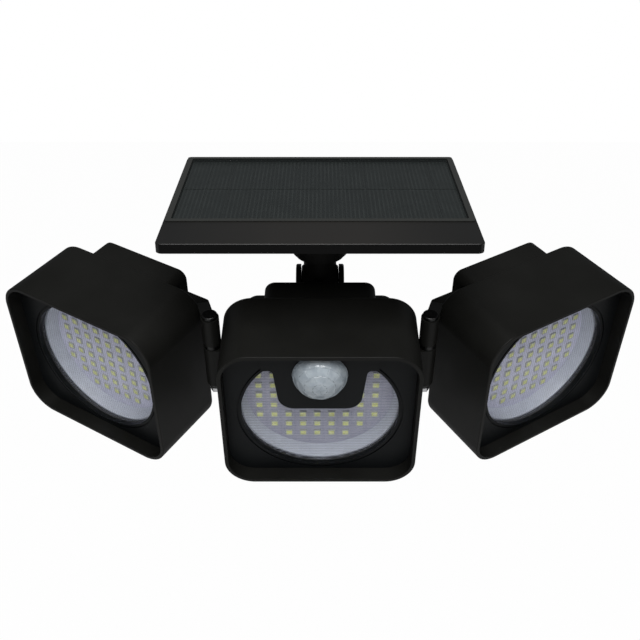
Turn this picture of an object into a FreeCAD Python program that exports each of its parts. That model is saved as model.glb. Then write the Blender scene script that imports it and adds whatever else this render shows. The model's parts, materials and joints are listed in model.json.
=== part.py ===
"""Three-headed motion sensor security light with a solar panel on a jointed neck.

Row frame, millimetres: +Z up, the lamp faces -Y, +X is to the right of a viewer in front.
The origin is the centre of the wall plate's back face.  Each head is drawn in a frame of its
own, with the lens centre at the origin, -Y out of the lens and +Z up along the face, and is
then tilted, turned and carried to its place.
"""
import FreeCAD, Part
import math
import os

V = FreeCAD.Vector
X_AXIS = V(1, 0, 0)
Y_AXIS = V(0, 1, 0)
Z_AXIS = V(0, 0, 1)

# ---- driving dimensions -------------------------------------------------------------------
# lamp heads
HEAD_W = 90.0              # outer width of a head
HEAD_H = 82.0              # outer height of a head
CORNER_R = 14.0            # corner radius of the outline
WALL = 1.8                 # moulded wall
RIM = 7.3                  # how far the hood stands out in front of the bezel face
FACE_T = 2.4               # thickness of the bezel face round the lens
GROOVE_OUT = 1.2           # shadow groove outside the lens opening
GROOVE_W = 0.8
GROOVE_T = 0.7
SHELL_BACK = 28.8          # parting line between hood and rear housing, behind the face
FLANGE_T = 5.0             # depth of the rear housing's full-width flange
BLOCK_W = 52.0             # width of the block behind the flange
BLOCK_TOP_IN = 1.2         # top of that block below the flange's
BLOCK_BOTTOM_IN = 7.0      # bottom of that block above the flange's
BLOCK_T = 13.0             # depth of that block behind the flange
BLOCK_R = 5.0
BACK_EDGE = 1.6            # rounding of the rear housing's back edges
RIM_EDGE = 0.5             # rounding of the hood's front edge
JOIN = 1.0                 # how far joined bodies reach into each other
PAST = 1.0                 # how far a cut runs past what it cuts

# optics
LENS_EDGE = 4.8            # bezel above and below the opening that shows the lens
LENS_LIP = 1.4             # lens and gasket hidden behind the face
LENS_T = 1.8
GASKET_T = 0.8
GASKET_W = 1.2
REFLECTOR_T = 6.5          # from the lens back to the board
REFLECTOR_SLOPE = 2.0      # how much narrower the reflector is at the board
REFLECTOR_WALL = 0.8
BOARD_T = 1.6
BOARD_MARGIN = 1.0         # board past the lens opening
FIT = 0.15                 # general clearance between parts of one head
THREAD_FIT = 0.05          # between a screw and the hole it bites in

# light emitting diodes, rows from the bottom up
LED_SIZE = 3.5
LED_T = 0.8
LED_PITCH_X = 6.82
LED_PITCH_Z = 6.4
LED_ROWS = (5, 7, 9, 9, 9, 9, 9, 7, 5)
CENTRE_LED_SHIFT = -1.3

# motion sensor
PIR_DOWN = 15.6            # sensor axis below the head's top
DOME_R = 12.7
DOME_BACK = 1.0            # centre of the dome's sphere behind the bezel face
DOME_T = 1.2
PLATE_T = 2.0              # sensor plate in front of the lens
PLATE_DOWN = 20.9          # sensor plate's lower edge below the sensor axis
PLATE_HALF_LOW = 18.2
PLATE_HALF_HIGH = 21.0
PLATE_HALF_TOP = 26.0      # above its shoulders the plate covers the top of the lens
SHOULDER_UP = 2.6          # shoulders above the sensor axis
SHOULDER_R = 2.2
PLATE_R = 7.5
TUNNEL_WALL = 1.0
SENSOR_R = 4.6
SENSOR_T = 5.0
SENSOR_WINDOW_W = 4.0
SENSOR_WINDOW_H = 3.0
SENSOR_WINDOW_T = 0.3
SKIRT_IN = 0.5             # dome's skirt inside the sphere's edge on the plate
SKIRT_PROUD = 0.3

# inside the centre head
CELL_R = 9.2
CELL_ROOM = 1.05           # between the holder and the housing, above and below
CELL_SPACING = 19.2
CELL_BACK_ROOM = 0.2       # between the cells and the holder's floor
CELL_CAP_R = 3.1
CELL_CAP_T = 1.5
HOLDER_T = 1.0
HOLDER_END = 1.4
HOLDER_SIDE = 0.5
CONTROL_T = 1.6
CONTROL_Y = 20.0           # back face of the control board
CONTROL_W = 44.0
CONTROL_EDGE = 0.4         # control board above the pressed button
BUTTON_R = 4.4
BUTTON_Y = 17.0
BUTTON_PROUD = 2.0
BUTTON_TRAVEL = 1.0
BUTTON_FLANGE = 1.2
BUTTON_FLANGE_T = 1.0
SWITCH_SIZE = 6.0
SWITCH_T = 3.0
SWITCH_GAP = 0.2           # switch above the pressed button
BUTTON_EDGE = 1.0

# case screws and bosses
SCREW_IN = 7.6             # screw axes inside the head's outline
SCREW_R = 1.5
SCREW_HEAD_R = 2.8
SCREW_HEAD_T = 2.0
SCREW_BITE = 8.0
SCREW_END = 0.5            # room past the end of a screw
CROSS_W = 0.8
CROSS_L = 3.9
CROSS_T = 0.9
BOSS_R = 4.0
SEAT_DEPTH = 2.4
POST_X = 28.0
POST_Z = 18.0
POST_R = 2.5

# side swivel hinges
HINGE_OUT = 5.0            # swivel axis outside the centre head's wall
HINGE_Y = 24.0             # swivel axis behind the centre bezel face
KNUCKLE_R = 4.2
KNUCKLE_LOW = -3.0         # lower knuckle, on the centre head
KNUCKLE_HIGH = 19.5
UPPER_LOW = 22.0           # upper knuckle, on the side head's arm
UPPER_HIGH = 37.0
KNUCKLE_FOOT = 3.0         # cone under the lower knuckle
KNUCKLE_FOOT_IN = 1.4
WASHER_IN = 0.4            # washer's rim inside the knuckle's
SWIVEL_SCREW_R = 1.6
SWIVEL_HEAD_R = 3.6
SWIVEL_HEAD_T = 1.8
SWIVEL_HEAD_EDGE = 0.6
SWIVEL_NUT_T = 2.4
SWIVEL_NUT_R = 3.0
RUN_FIT = 0.1              # radial clearance of every turning shaft
ARM_OUT = 14.0             # swivel axis outside the side head's wall
ARM_Y = 21.1               # swivel axis behind the side head's bezel face
ARM_T = 6.0
ARM_GAP = 0.5              # between the arm and the flange's back
ARM_LOW = 20.0             # arm where it leaves the block
ARM_HIGH = 33.5
ARM_END_HIGH = 40.0        # top of the arm at its knuckle
SIDE_DROP = 6.6            # side heads hang this much lower than the centre one
SWIVEL_REST = 31.2         # degrees outward in the photographed pose

# neck and panel
NECK_W = 23.0
NECK_EAR = 2.4             # thickness of each clevis ear
NECK_BACK = 10.7           # tilt pin behind the centre head's block
NECK_Z = 30.2              # tilt pin above the lens centre
NECK_EAR_R = 9.3
NECK_EAR_EDGE = 0.8
NECK_BOTTOM = 12.0         # underside of the clevis
NECK_PIN_R = 2.5
NECK_PIN_SHORT = 0.2       # pin end below the ear's face
NECK_GAP = 0.3             # each side of the knuckle, and round it
KNUCKLE_BALL_R = 9.0
KNUCKLE_BALL_EDGE = 1.2
STUB_R = 6.0
THROAT_R = 7.8
STUB_RING_R = 11.4
STUB_RING_T = 1.8
SLEEVE = 9.0               # length of the hub's bearing on the stub
STUB_PROUD = 0.1           # stub past the sleeve, so the washer doesn't clamp the hub
PANEL_W = 136.0
PANEL_D = 108.0
PANEL_T = 4.4
PANEL_R = 3.0
PANEL_UP = 45.0            # tilt pin to the panel's top face
PANEL_TILT = 8.5           # degrees towards the front
PANEL_LIP = 3.2            # grey lip beside the cells
PANEL_BAND = 26.0          # plain band along the front edge
PANEL_EDGE = 0.6
LIP_PROUD = 0.4
LIP_R = 1.5
POCKET_R = 1.0
SHEET_R = 0.8              # corners of the glass and the backing board
GLASS_T = 1.2
CELL_SHEET_T = 0.4
CELL_ROWS = 2
CELL_COLUMNS = 12
CELL_GAP = 0.5
CELL_ROW_GAP = 1.2
TRAY_FLOOR = 1.6
HUB_R = 13.0               # collar under the panel
HUB_LOW = 17.2             # collar's lower edge above the tilt pin
HUB_RIB_R = 38.0           # reach of the side ribs under the panel
HUB_RIB_T = 4.0
HUB_FLANGE_W = 84.0
HUB_FLANGE_D = 40.0
HUB_FLANGE_T = 2.0
HUB_FLANGE_R = 8.0
HUB_RIB_UP = 0.6           # ribs start this far above the collar's lower edge
HUB_RIB_IN = 0.5           # ribs reach into the flange
HUB_RIB_BACK = 4.0         # back rib starts above the collar's lower edge
HUB_RIB_SHORT = 1.0        # back rib ends short of the flange's back edge
HUB_ROOM_R = 8.2           # room over the sleeve for the washer and screw
HUB_SCREW_R = 1.8
HUB_SCREW_HEAD_R = 3.6
HUB_SCREW_HEAD_T = 1.8
HUB_SCREW_BITE = 7.5
HUB_SLOT_L = 4.4
HUB_SLOT_W = 0.9
HUB_SLOT_T = 0.8
HUB_WASHER_R = 7.6
HUB_WASHER_T = 0.8
FLANGE_SCREW_X = 34.0
FLANGE_SCREW_Y = 14.0
FLANGE_SCREW_HEAD_T = 1.6
FLANGE_SCREW_END = 0.3     # floor left over the end of a flange screw

# wall bracket
HEAD_TILT = 20.0           # degrees below level in the photographed pose
PIVOT_BACK = 14.0          # bracket pivot behind the centre head's block
PIVOT_Z = -8.0
PIVOT_OUT = 40.0           # pivot in front of the wall
PIVOT_UP = 19.0            # pivot above the wall plate's centre
LUG_W = 22.0
LUG_R = 9.0
BRACKET_EAR = 4.0
BRACKET_GAP = 0.3
EAR_R = 10.0
PLATE_W = 84.0
PLATE_H = 56.0
PLATE_THICK = 3.6
PLATE_CORNER = 8.0
PLATE_EDGE = 1.0
WEB_DOWN = 30.0            # foot of the bracket's webs below the pivot
WALL_HOLE_R = 2.4
WALL_HOLE_X = 60.0
WALL_HOLE_Z = 36.0
BOLT_R = 3.0
BOLT_HEAD_R = 5.2
BOLT_HEAD_T = 3.4
KNOB_R = 9.0
KNOB_T = 8.0
KNOB_BITE = 6.4            # bolt inside the knob
KNOB_LOBES = 6
KNOB_DENT_R = 2.8
KNOB_DENT_OUT = 1.6        # dent centre outside the knob's rim

# ---- sizes that follow from the ones above --------------------------------------------------
HALF_W = HEAD_W / 2
HALF_H = HEAD_H / 2
INNER_W = HEAD_W - 2 * WALL
INNER_H = HEAD_H - 2 * WALL
INNER_R = CORNER_R - WALL
FLANGE_BACK = SHELL_BACK + FLANGE_T
BLOCK_BACK = FLANGE_BACK + BLOCK_T
BLOCK_TOP = HALF_H - BLOCK_TOP_IN
BLOCK_BOTTOM = -HALF_H + BLOCK_BOTTOM_IN
BLOCK_H = BLOCK_TOP - BLOCK_BOTTOM
BLOCK_MID = (BLOCK_TOP + BLOCK_BOTTOM) / 2
SCREW_X = HALF_W - SCREW_IN
SCREW_Z = HALF_H - SCREW_IN
HINGE_X = HALF_W + HINGE_OUT
ARM_REACH = HALF_W + ARM_OUT
NECK_Y = BLOCK_BACK + NECK_BACK
PIVOT_Y = BLOCK_BACK + PIVOT_BACK
LENS_R = min(HALF_W, HALF_H) - LENS_EDGE
DISC_R = LENS_R + LENS_LIP
GASKET_Y = FACE_T
LENS_Y = GASKET_Y + GASKET_T
REFLECTOR_Y = LENS_Y + LENS_T
BOARD_Y = REFLECTOR_Y + REFLECTOR_T
BOARD_BACK = BOARD_Y + BOARD_T
BOARD_R = LENS_R + BOARD_MARGIN
LED_FIELD_R = LENS_R - REFLECTOR_SLOPE - FIT
PIR_Z = HALF_H - PIR_DOWN
PLATE_BOTTOM = PIR_Z - PLATE_DOWN
SHOULDER_Z = PIR_Z + SHOULDER_UP
CELL_LENGTH = BLOCK_H - 2 * (WALL + CELL_ROOM + HOLDER_END + FIT)
CELL_Z = BLOCK_MID
CELL_Y = BLOCK_BACK - WALL - HOLDER_T - CELL_BACK_ROOM - CELL_R
INNER_FLOOR = -HALF_H + WALL
BUTTON_FLANGE_TOP = INNER_FLOOR + BUTTON_FLANGE_T
CONTROL_HALF = -(BUTTON_FLANGE_TOP + BUTTON_TRAVEL + CONTROL_EDGE)
SKIRT_R = math.sqrt(DOME_R ** 2 - (DOME_BACK + PLATE_T) ** 2) - SKIRT_IN
TUNNEL_R = SKIRT_R + FIT + TUNNEL_WALL
NOTCH_R = TUNNEL_R + FIT

PIVOT_CENTRE = V(0, -PIVOT_OUT, PIVOT_UP)
nodes = {}


# ---- small shape helpers -------------------------------------------------------------------
def slab(width, height, radius, front, back, x=0.0, z=0.0):
    """Rounded rectangle across X and Z, from front to back along Y."""
    box = Part.makeBox(width, back - front, height, V(x - width / 2, front, z - height / 2))
    if radius <= 0:
        return box
    edges = [edge for edge in box.Edges if abs(edge.tangentAt(edge.FirstParameter).y) > 0.99]
    return box.makeFillet(radius, edges)


def plate(width, depth, radius, low, high, x=0.0, y=0.0):
    """Rounded rectangle across X and Y, from low to high along Z."""
    box = Part.makeBox(width, depth, high - low, V(x - width / 2, y - depth / 2, low))
    if radius <= 0:
        return box
    edges = [edge for edge in box.Edges if abs(edge.tangentAt(edge.FirstParameter).z) > 0.99]
    return box.makeFillet(radius, edges)


def rod_x(radius, start, end, y, z):
    return Part.makeCylinder(radius, end - start, V(start, y, z), X_AXIS)


def rod_y(radius, start, end, x=0.0, z=0.0):
    return Part.makeCylinder(radius, end - start, V(x, start, z), Y_AXIS)


def rod_z(radius, start, end, x=0.0, y=0.0):
    return Part.makeCylinder(radius, end - start, V(x, y, start), Z_AXIS)


def prism_x(points, start, end):
    """Polygon of (y, z) points, from start to end along X."""
    corners = [V(start, y, z) for y, z in points]
    return Part.Face(Part.makePolygon(corners + corners[:1])).extrude(V(end - start, 0, 0))


def prism_y(points, front, back):
    """Polygon of (x, z) points, from front to back along Y."""
    corners = [V(x, front, z) for x, z in points]
    return Part.Face(Part.makePolygon(corners + corners[:1])).extrude(V(0, back - front, 0))


def prism_z(points, low, high):
    """Polygon of (x, y) points, from low to high along Z."""
    corners = [V(x, y, low) for x, y in points]
    return Part.Face(Part.makePolygon(corners + corners[:1])).extrude(V(0, 0, high - low))


def soften(shape, radius, wanted):
    """Round the edges that the wanted test picks out."""
    return shape.makeFillet(radius, [edge for edge in shape.Edges if wanted(edge)])


def hexagon(radius, low, high, x, y):
    corners = []
    for step in range(6):
        angle = math.radians(60 * step)
        corners.append((x + radius * math.cos(angle), y + radius * math.sin(angle)))
    return prism_z(corners, low, high)


def whole(shape):
    """Tidy the seams that joins leave."""
    return shape.removeSplitter()


# ---- placing -------------------------------------------------------------------------------
def turn_x(degrees):
    return FreeCAD.Rotation(X_AXIS, degrees)


def turn_z(degrees):
    return FreeCAD.Rotation(Z_AXIS, degrees)


def head_placement():
    """Centre head: tilted about the bracket pivot, which stays where the wall plate holds it."""
    rotation = turn_x(HEAD_TILT)
    pivot = rotation.multVec(V(0, PIVOT_Y, PIVOT_Z))
    return FreeCAD.Placement(PIVOT_CENTRE - pivot, rotation)


def side_placement(side):
    """Side head in the centre head's frame: turned outward about its swivel axis."""
    rotation = turn_z(side * SWIVEL_REST)
    axis_in_side = rotation.multVec(V(-side * ARM_REACH, ARM_Y, 0))
    axis = V(side * HINGE_X, HINGE_Y, -SIDE_DROP)
    return FreeCAD.Placement(axis - axis_in_side, rotation)


def neck_placement():
    """Neck frame: its origin is on the tilt pin, its +Z is the panel's normal."""
    head = head_placement()
    pin = head.multVec(V(0, NECK_Y, NECK_Z))
    return FreeCAD.Placement(pin, turn_x(PANEL_TILT))


def keep(name, shape, placement=None):
    """Store one node, carried to its place in the row frame."""
    if placement is not None:
        shape = shape.copy()
        shape.Placement = placement.multiply(shape.Placement)
    nodes[name] = shape


# ---- one lamp head -------------------------------------------------------------------------
def corner_places():
    return [(x, z) for x in (-SCREW_X, SCREW_X) for z in (-SCREW_Z, SCREW_Z)]


def make_hood():
    """Front shell: a deep hood and, behind the bezel, four screw bosses."""
    shell = slab(HEAD_W, HEAD_H, CORNER_R, -RIM, SHELL_BACK)
    shell = soften(shell, RIM_EDGE, lambda edge: abs(edge.BoundBox.YMax + RIM) < 0.01)
    shell = shell.cut(slab(INNER_W, INNER_H, INNER_R, -RIM - PAST, SHELL_BACK + PAST))
    for x, z in corner_places():
        shell = shell.fuse(rod_y(BOSS_R, FACE_T, SHELL_BACK, x, z))
        shell = shell.cut(rod_y(SCREW_R, SHELL_BACK - SCREW_BITE, SHELL_BACK + PAST, x, z))
    return whole(shell)


def make_bezel(notched):
    """Face plate round the lens, with a shadow groove; it lies on the hood's bosses."""
    face = slab(INNER_W - 2 * FIT, INNER_H - 2 * FIT, INNER_R - FIT, 0, FACE_T)
    face = face.cut(rod_y(LENS_R, -PAST, FACE_T + PAST))
    groove_r = LENS_R + GROOVE_OUT
    groove = rod_y(groove_r + GROOVE_W, -PAST, GROOVE_T).cut(rod_y(groove_r, -2 * PAST, GROOVE_T + PAST))
    face = face.cut(groove)
    return face.cut(rod_y(NOTCH_R, -PAST, FACE_T + PAST, z=PIR_Z)) if notched else face


def make_rear_housing():
    """Rear housing: full-width flange, the block behind it, screw seats and board posts."""
    flange = slab(HEAD_W, HEAD_H, CORNER_R, SHELL_BACK, FLANGE_BACK)
    flange = soften(flange, BACK_EDGE, lambda edge: abs(edge.BoundBox.YMin - FLANGE_BACK) < 0.01)
    block = slab(BLOCK_W, BLOCK_H, BLOCK_R, FLANGE_BACK - JOIN, BLOCK_BACK, z=BLOCK_MID)
    block = soften(block, BACK_EDGE, lambda edge: abs(edge.BoundBox.YMin - BLOCK_BACK) < 0.01)
    shell = flange.fuse(block)
    shell = shell.cut(slab(INNER_W, INNER_H, INNER_R, SHELL_BACK - PAST, FLANGE_BACK - WALL))
    room = slab(BLOCK_W - 2 * WALL, BLOCK_H - 2 * WALL, BLOCK_R - WALL,
                SHELL_BACK - PAST, BLOCK_BACK - WALL, z=BLOCK_MID)
    shell = shell.cut(room)
    for x, z in corner_places():
        shell = shell.fuse(rod_y(BOSS_R, SHELL_BACK, FLANGE_BACK - JOIN, x, z))
    for x in (-POST_X, POST_X):
        for z in (-POST_Z, POST_Z):
            shell = shell.fuse(rod_y(POST_R, BOARD_BACK, FLANGE_BACK - JOIN, x, z))
    for x, z in corner_places():
        shell = shell.cut(rod_y(SCREW_R + FIT, SHELL_BACK - PAST, FLANGE_BACK + PAST, x, z))
        shell = shell.cut(rod_y(SCREW_HEAD_R + FIT, FLANGE_BACK - SEAT_DEPTH, FLANGE_BACK + PAST, x, z))
    return shell


def make_case_screws():
    """Four case screws, sunk in their seats and driven from behind into the hood's bosses."""
    screws = []
    seat = FLANGE_BACK - SEAT_DEPTH
    for x, z in corner_places():
        shank = rod_y(SCREW_R - THREAD_FIT, SHELL_BACK - SCREW_BITE + SCREW_END, seat, x, z)
        head = rod_y(SCREW_HEAD_R, seat, seat + SCREW_HEAD_T, x, z)
        slot = slab(CROSS_W, CROSS_L, 0, seat + SCREW_HEAD_T - CROSS_T, seat + SCREW_HEAD_T + PAST, x, z)
        cross = slab(CROSS_L, CROSS_W, 0, seat + SCREW_HEAD_T - CROSS_T, seat + SCREW_HEAD_T + PAST, x, z)
        screws.append(shank.fuse(head).cut(slot).cut(cross))
    return Part.makeCompound(screws)


def sensor_notch(radius, front, back):
    """Round-ended notch that the sensor tunnel takes out of the lens, gasket and reflector."""
    hole = rod_y(radius, front, back, z=PIR_Z)
    gate = slab(2 * radius, HALF_H, 0, front, back, z=PIR_Z + HALF_H / 2)
    return hole.fuse(gate)


def make_lens(notched):
    lens = rod_y(DISC_R, LENS_Y, LENS_Y + LENS_T)
    return lens.cut(sensor_notch(NOTCH_R, LENS_Y - PAST, REFLECTOR_Y + PAST)) if notched else lens


def make_gasket(notched):
    ring = rod_y(DISC_R, GASKET_Y, LENS_Y).cut(rod_y(DISC_R - GASKET_W, GASKET_Y - PAST, LENS_Y + PAST))
    return ring.cut(sensor_notch(NOTCH_R, GASKET_Y - PAST, LENS_Y + PAST)) if notched else ring


def make_reflector(notched):
    """Sloping light ring between the lens and the board."""
    wide = LENS_R
    narrow = LENS_R - REFLECTOR_SLOPE
    outer = Part.makeCone(wide + REFLECTOR_WALL, narrow + REFLECTOR_WALL, REFLECTOR_T,
                          V(0, REFLECTOR_Y, 0), Y_AXIS)
    inner = Part.makeCone(wide, narrow, REFLECTOR_T, V(0, REFLECTOR_Y, 0), Y_AXIS)
    ring = outer.cut(inner)
    return ring.cut(sensor_notch(NOTCH_R, REFLECTOR_Y - PAST, BOARD_Y + PAST)) if notched else ring


def make_led_board():
    return rod_y(BOARD_R, BOARD_Y, BOARD_BACK)


def make_leds(shift, clear_of_tunnel):
    """Square emitters in rows; in the centre head those in the sensor tunnel's way are left out."""
    emitters = []
    for row, count in enumerate(LED_ROWS):
        z = (row - (len(LED_ROWS) - 1) / 2) * LED_PITCH_Z
        for column in range(count):
            x = shift + (column - (count - 1) / 2) * LED_PITCH_X
            if math.hypot(abs(x) + LED_SIZE / 2, abs(z) + LED_SIZE / 2) > LED_FIELD_R:
                continue
            if clear_of_tunnel and math.hypot(x, z - PIR_Z) < NOTCH_R + LED_SIZE:
                continue
            emitters.append(slab(LED_SIZE, LED_SIZE, 0, BOARD_Y - LED_T, BOARD_Y, x, z))
    return Part.makeCompound(emitters)


def make_arm(side):
    """Arm from the side head's block round its own back corner, rising to the upper knuckle."""
    toward = -side
    axis_x = toward * ARM_REACH
    low = UPPER_LOW + SIDE_DROP
    elbow_x = toward * (HALF_W - ARM_T / 2)
    elbow_y = FLANGE_BACK + ARM_T / 2 + ARM_GAP
    root_x = toward * (BLOCK_W / 2 - WALL)
    root = Part.makeBox(abs(elbow_x - root_x), ARM_T + ARM_GAP, ARM_HIGH - ARM_LOW,
                        V(min(elbow_x, root_x), FLANGE_BACK, ARM_LOW))
    run = V(axis_x - elbow_x, ARM_Y - elbow_y, 0)
    across = V(-run.y, run.x, 0).normalize() * ARM_T
    start = V(elbow_x, elbow_y, 0) - across / 2
    end = start + run
    profile = [start + V(0, 0, low), end + V(0, 0, low), end + V(0, 0, ARM_END_HIGH), start + V(0, 0, ARM_HIGH)]
    bar = Part.Face(Part.makePolygon(profile + profile[:1])).extrude(across)
    elbow = rod_z(ARM_T / 2, low, ARM_HIGH, elbow_x, elbow_y)
    knuckle = rod_z(KNUCKLE_R, low, UPPER_HIGH + SIDE_DROP, axis_x, ARM_Y)
    bore = rod_z(SWIVEL_SCREW_R + RUN_FIT, low - PAST, UPPER_HIGH + SIDE_DROP + PAST, axis_x, ARM_Y)
    return root.fuse(elbow).fuse(bar).fuse(knuckle), bore


def make_side_head(side, prefix):
    """One side head; its arm points to the centre head."""
    placement = head_placement().multiply(side_placement(side))
    keep(prefix + "_hood", make_hood(), placement)
    keep(prefix + "_bezel", make_bezel(False), placement)
    arm, bore = make_arm(side)
    rear = whole(make_rear_housing().fuse(arm).cut(bore))
    keep(prefix + "_rear_housing", rear, placement)
    keep(prefix + "_lens", make_lens(False), placement)
    keep(prefix + "_lens_gasket", make_gasket(False), placement)
    keep(prefix + "_reflector", make_reflector(False), placement)
    keep(prefix + "_led_board", make_led_board(), placement)
    keep(prefix + "_leds", make_leds(0.0, False), placement)
    keep(prefix + "_case_screws", make_case_screws(), placement)


# ---- swivel hinges between the heads --------------------------------------------------------
def make_lower_knuckle(side):
    """Lower swivel knuckle, a boss on the centre hood's side wall."""
    x = side * HINGE_X
    web = plate(HINGE_X - HALF_W + JOIN, KNUCKLE_R * 2, 0, KNUCKLE_LOW, KNUCKLE_HIGH,
                side * (HALF_W - JOIN + HINGE_X) / 2, HINGE_Y)
    knuckle = web.fuse(rod_z(KNUCKLE_R, KNUCKLE_LOW, KNUCKLE_HIGH, x, HINGE_Y))
    foot = Part.makeCone(KNUCKLE_R - KNUCKLE_FOOT_IN, KNUCKLE_R, KNUCKLE_FOOT,
                         V(x, HINGE_Y, KNUCKLE_LOW - KNUCKLE_FOOT), Z_AXIS)
    return knuckle.fuse(foot)


def swivel_bore(side, radius):
    return rod_z(radius, KNUCKLE_LOW - KNUCKLE_FOOT - PAST, KNUCKLE_HIGH + PAST, side * HINGE_X, HINGE_Y)


def make_swivel_parts(side, prefix):
    """Screw, nut and friction washer of one side swivel, in the centre head's frame."""
    placement = head_placement()
    x = side * HINGE_X
    bottom = KNUCKLE_LOW - KNUCKLE_FOOT
    shank = rod_z(SWIVEL_SCREW_R, bottom - SWIVEL_NUT_T, UPPER_HIGH, x, HINGE_Y)
    head = rod_z(SWIVEL_HEAD_R, UPPER_HIGH, UPPER_HIGH + SWIVEL_HEAD_T, x, HINGE_Y)
    top = UPPER_HIGH + SWIVEL_HEAD_T
    head = soften(head, SWIVEL_HEAD_EDGE, lambda edge: abs(edge.BoundBox.ZMin - top) < 0.01)
    screw = shank.fuse(head)
    if side < 0:
        screw.rotate(V(x, HINGE_Y, 0), Z_AXIS, 180)   # the left one mirrors the right one
    keep(prefix + "_swivel_screw", screw, placement)
    nut = hexagon(SWIVEL_NUT_R, bottom - SWIVEL_NUT_T, bottom, x, HINGE_Y)
    nut = nut.cut(rod_z(SWIVEL_SCREW_R, bottom - SWIVEL_NUT_T - PAST, bottom + PAST, x, HINGE_Y))
    keep(prefix + "_swivel_nut", nut, placement)
    washer = rod_z(KNUCKLE_R - WASHER_IN, KNUCKLE_HIGH, UPPER_LOW, x, HINGE_Y)
    washer = washer.cut(rod_z(SWIVEL_SCREW_R + RUN_FIT, KNUCKLE_HIGH - PAST, UPPER_LOW + PAST, x, HINGE_Y))
    keep(prefix + "_swivel_washer", washer, placement)


# ---- centre head ---------------------------------------------------------------------------
def make_neck_clevis():
    """Two round-topped ears behind the block, which carry the panel's neck."""
    reach = KNUCKLE_BALL_R + NECK_GAP
    front = BLOCK_BACK - JOIN
    back = NECK_Y + NECK_EAR_R
    ears = rod_x(NECK_EAR_R, -NECK_W / 2, NECK_W / 2, NECK_Y, NECK_Z)
    ears = soften(ears, NECK_EAR_EDGE, lambda edge: edge.BoundBox.XLength < 0.01)
    base = plate(NECK_W, back - front, 0, NECK_BOTTOM, NECK_Z, y=(front + back) / 2)
    slot = Part.makeBox(NECK_W - 2 * NECK_EAR, back - BLOCK_BACK + PAST, 2 * reach + NECK_EAR_R,
                        V(-NECK_W / 2 + NECK_EAR, BLOCK_BACK, NECK_Z - reach))
    return ears.fuse(base), slot


def make_centre_head():
    placement = head_placement()
    hood = make_hood()
    for side in (-1, 1):
        hood = hood.fuse(make_lower_knuckle(side))
    for side in (-1, 1):
        hood = hood.cut(swivel_bore(side, SWIVEL_SCREW_R + THREAD_FIT))
    opening = rod_z(BUTTON_R + FIT, -HALF_H - PAST, -HALF_H + WALL + PAST, y=BUTTON_Y)
    keep("centre_hood", whole(hood.cut(opening)), placement)
    keep("centre_bezel", make_bezel(True), placement)

    rear = make_rear_housing()
    clevis, slot = make_neck_clevis()
    lug_front = BLOCK_BACK - JOIN
    lug = rod_x(LUG_R, -LUG_W / 2, LUG_W / 2, PIVOT_Y, PIVOT_Z)
    lug_web = Part.makeBox(LUG_W, PIVOT_Y - lug_front, 2 * LUG_R, V(-LUG_W / 2, lug_front, PIVOT_Z - LUG_R))
    rear = rear.fuse(clevis).fuse(lug.fuse(lug_web)).cut(slot)
    rear = rear.cut(rod_x(BOLT_R + RUN_FIT, -LUG_W, LUG_W, PIVOT_Y, PIVOT_Z))
    rear = rear.cut(rod_x(NECK_PIN_R + THREAD_FIT, -NECK_W, NECK_W, NECK_Y, NECK_Z))
    keep("centre_rear_housing", whole(rear), placement)

    keep("centre_lens", make_lens(True), placement)
    keep("centre_lens_gasket", make_gasket(True), placement)
    keep("centre_reflector", make_reflector(True), placement)
    keep("centre_led_board", make_led_board(), placement)
    keep("centre_leds", make_leds(CENTRE_LED_SHIFT, True), placement)
    keep("centre_case_screws", make_case_screws(), placement)


def runs_through(edge, z, half):
    """Whether an edge runs through the sensor plate's thickness at (+-half, z)."""
    box = edge.BoundBox
    at_corner = abs(box.Center.z - z) < 0.01 and abs(abs(box.Center.x) - half) < 0.01
    return at_corner and box.YLength > PLATE_T / 2


def make_motion_sensor():
    """Plate across the top of the lens, tunnel to the board, sensor can and its faceted dome."""
    placement = head_placement()
    top = HALF_H - WALL - FIT
    left_half = [(-PLATE_HALF_TOP, top), (-PLATE_HALF_TOP, SHOULDER_Z),
                 (-PLATE_HALF_HIGH, SHOULDER_Z), (-PLATE_HALF_LOW, PLATE_BOTTOM)]
    right_half = [(-x, z) for x, z in reversed(left_half)]
    cover = prism_y(left_half + right_half, -PLATE_T, 0)
    cover = soften(cover, PLATE_R, lambda edge: runs_through(edge, PLATE_BOTTOM, PLATE_HALF_LOW))
    cover = soften(cover, SHOULDER_R, lambda edge: runs_through(edge, SHOULDER_Z, PLATE_HALF_HIGH))
    cover = cover.fuse(rod_y(TUNNEL_R, -JOIN, BOARD_Y, z=PIR_Z))
    cover = cover.cut(rod_y(SKIRT_R + FIT, -PLATE_T - PAST, BOARD_Y + PAST, z=PIR_Z))
    keep("sensor_plate", whole(cover), placement)

    centre = V(0, DOME_BACK, PIR_Z)
    ball = Part.makeSphere(DOME_R, centre).cut(Part.makeSphere(DOME_R - DOME_T, centre))
    room = Part.makeBox(4 * DOME_R, 4 * DOME_R, 4 * DOME_R, V(-2 * DOME_R, -PLATE_T, PIR_Z - 2 * DOME_R))
    skirt = rod_y(SKIRT_R, -PLATE_T - SKIRT_PROUD, 0, z=PIR_Z)
    skirt = skirt.cut(rod_y(SKIRT_R - DOME_T, -PLATE_T - PAST, PAST, z=PIR_Z))
    keep("sensor_dome", whole(ball.cut(room).fuse(skirt)), placement)

    sensor_front = BOARD_Y - SENSOR_T
    can = rod_y(SENSOR_R, sensor_front, BOARD_Y, z=PIR_Z)
    window = slab(SENSOR_WINDOW_W, SENSOR_WINDOW_H, 0, sensor_front - PAST,
                  sensor_front + SENSOR_WINDOW_T, z=PIR_Z)
    keep("motion_sensor", can.cut(window), placement)


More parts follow.
